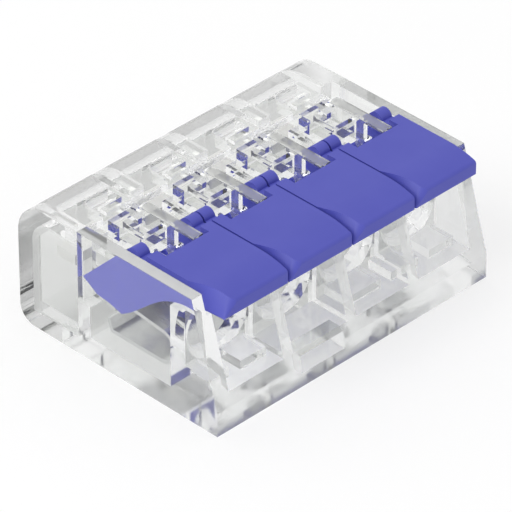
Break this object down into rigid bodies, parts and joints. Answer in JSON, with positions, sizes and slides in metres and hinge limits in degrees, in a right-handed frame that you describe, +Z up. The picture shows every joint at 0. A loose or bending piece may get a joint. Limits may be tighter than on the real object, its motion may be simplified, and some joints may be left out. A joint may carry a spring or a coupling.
{
  "type": "lever splicing connector",
  "caption": "Compact clear splicing connector: a row of wire entries, each with a blue lever that releases a spring clamp on a common current bar.",
  "frame": {"origin": "middle of the underside's outline, on the surface that the connector stands on", "axes": "+X along the row of wire entries, -Y the way out of the wire entries, +Z up through the levers"},
  "size_m": [0.0258, 0.019, 0.0103],
  "materials": {
    "clear_plastic": "clear moulded polycarbonate, glossy",
    "lever_plastic": "blue moulded nylon, fine satin",
    "tinned_copper": "tin plated copper strip",
    "spring_steel": "rolled stainless spring strip"
  },
  "bodies": {
    "shell": {"housing": "clear_plastic", "rear_cap": "clear_plastic", "busbar": "tinned_copper", "clamp_spring_1": "spring_steel", "clamp_spring_2": "spring_steel", "clamp_spring_3": "spring_steel", "clamp_spring_4": "spring_steel"},
    "lever_body_1": {"lever_1": "lever_plastic"},
    "lever_body_2": {"lever_2": "lever_plastic"},
    "lever_body_3": {"lever_3": "lever_plastic"},
    "lever_body_4": {"lever_4": "lever_plastic"}
  },
  "joints": [
    {"name": "lever_1_pivot", "type": "hinge", "parent": "shell", "child": "lever_body_1", "pos_m": [-0.009, 0.001, 0.007], "axis": [-1, 0, 0], "range_deg": [0, 90], "deforming": ["clamp_spring_1"]},
    {"name": "lever_2_pivot", "type": "hinge", "parent": "shell", "child": "lever_body_2", "pos_m": [-0.003, 0.001, 0.007], "axis": [-1, 0, 0], "range_deg": [0, 90], "deforming": ["clamp_spring_2"]},
    {"name": "lever_3_pivot", "type": "hinge", "parent": "shell", "child": "lever_body_3", "pos_m": [0.003, 0.001, 0.007], "axis": [-1, 0, 0], "range_deg": [0, 90], "deforming": ["clamp_spring_3"]},
    {"name": "lever_4_pivot", "type": "hinge", "parent": "shell", "child": "lever_body_4", "pos_m": [0.009, 0.001, 0.007], "axis": [-1, 0, 0], "range_deg": [0, 90], "deforming": ["clamp_spring_4"]}
  ]
}
